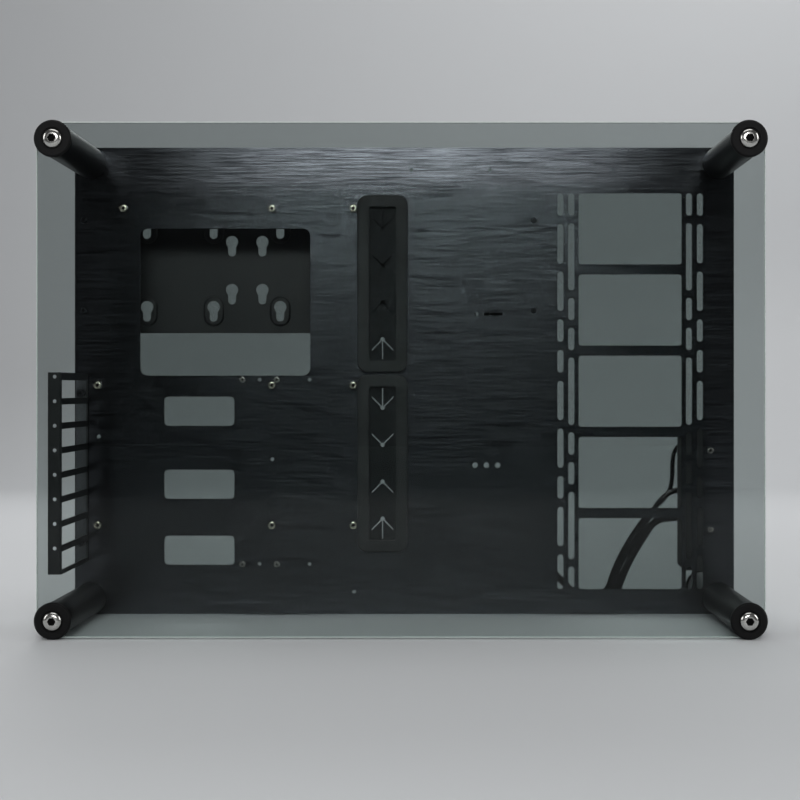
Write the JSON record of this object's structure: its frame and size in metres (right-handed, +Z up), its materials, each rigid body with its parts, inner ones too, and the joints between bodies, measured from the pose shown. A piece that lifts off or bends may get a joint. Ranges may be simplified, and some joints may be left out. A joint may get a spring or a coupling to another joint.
{
  "type": "open frame desktop pc case",
  "caption": "Open frame desktop computer case: a brushed black tray with cut-outs, fan slots and brackets held by corner posts between two sheets of tinted glass.",
  "frame": {"origin": "middle of the case on the surface that its lower bumper rings stand on", "axes": "+X to the right seen from the front glass, +Y from the front glass to the back, +Z up"},
  "size_m": [0.59, 0.271, 0.418],
  "materials": {
    "black_plastic": "moulded black plastic",
    "board_green": "green circuit board",
    "bolt_steel": "bright steel",
    "bracket_black": "black satin powder coat",
    "brushed_black": "black anodised aluminium brushed from side to side",
    "lamp_white": "clear white lens",
    "lead_black": "glossy black jacket",
    "post_black": "black anodised, satin",
    "rubber": "matt black rubber",
    "screw_black": "black zinc",
    "socket_metal": "tinned steel shell",
    "standoff_brass": "turned brass",
    "tinted_glass": "clear grey tinted tempered glass with polished edges"
  },
  "bodies": {
    "case": {"audio_header_plug": "black_plastic", "audio_lead": "lead_black", "audio_lead_socket": "black_plastic", "circuit_board_spacers": "black_plastic", "drive_bracket": "bracket_black", "drive_bracket_screws": "screw_black", "expansion_slot_frame": "bracket_black", "front_bumper_rings": "rubber", "front_glass_bolts": "bolt_steel", "front_glass_gaskets": "rubber", "front_glass_panel": "tinted_glass", "front_post_bottom_left": "post_black", "front_post_bottom_right": "post_black", "front_post_top_left": "post_black", "front_post_top_right": "post_black", "headphone_jack": "black_plastic", "lead_clips": "black_plastic", "lower_cable_grommet": "rubber", "lower_usb_socket": "socket_metal", "microphone_jack": "black_plastic", "motherboard_standoffs": "standoff_brass", "motherboard_tray": "brushed_black", "port_bracket": "bracket_black", "port_bracket_screws": "screw_black", "port_circuit_board": "board_green", "post_studs": "bolt_steel", "power_lamp": "lamp_white", "power_switch": "black_plastic", "rear_bumper_rings": "rubber", "rear_glass_bolts": "bolt_steel", "rear_glass_gaskets": "rubber", "rear_glass_panel": "tinted_glass", "rear_post_bottom_left": "post_black", "rear_post_bottom_right": "post_black", "rear_post_top_left": "post_black", "rear_post_top_right": "post_black", "reset_switch": "black_plastic", "slot_frame_thumbscrews": "screw_black", "supply_bracket": "bracket_black", "supply_bracket_screws": "screw_black", "switch_header_plug": "black_plastic", "switch_lead": "lead_black", "switch_lead_socket": "black_plastic", "upper_cable_grommet": "rubber", "upper_usb_socket": "socket_metal", "usb_header_plug": "black_plastic", "usb_lead": "lead_black", "usb_lead_socket": "black_plastic"},
    "power_button_body": {"power_button": "black_plastic"},
    "reset_button_body": {"reset_button": "black_plastic"}
  },
  "joints": [
    {"name": "power_press", "type": "slide", "parent": "case", "child": "power_button_body", "axis": [-1, 0, 0], "range_m": [0, 0.0012], "stiffness_N_per_m": 800},
    {"name": "reset_press", "type": "slide", "parent": "case", "child": "reset_button_body", "axis": [-1, 0, 0], "range_m": [0, 0.0012], "stiffness_N_per_m": 800}
  ]
}
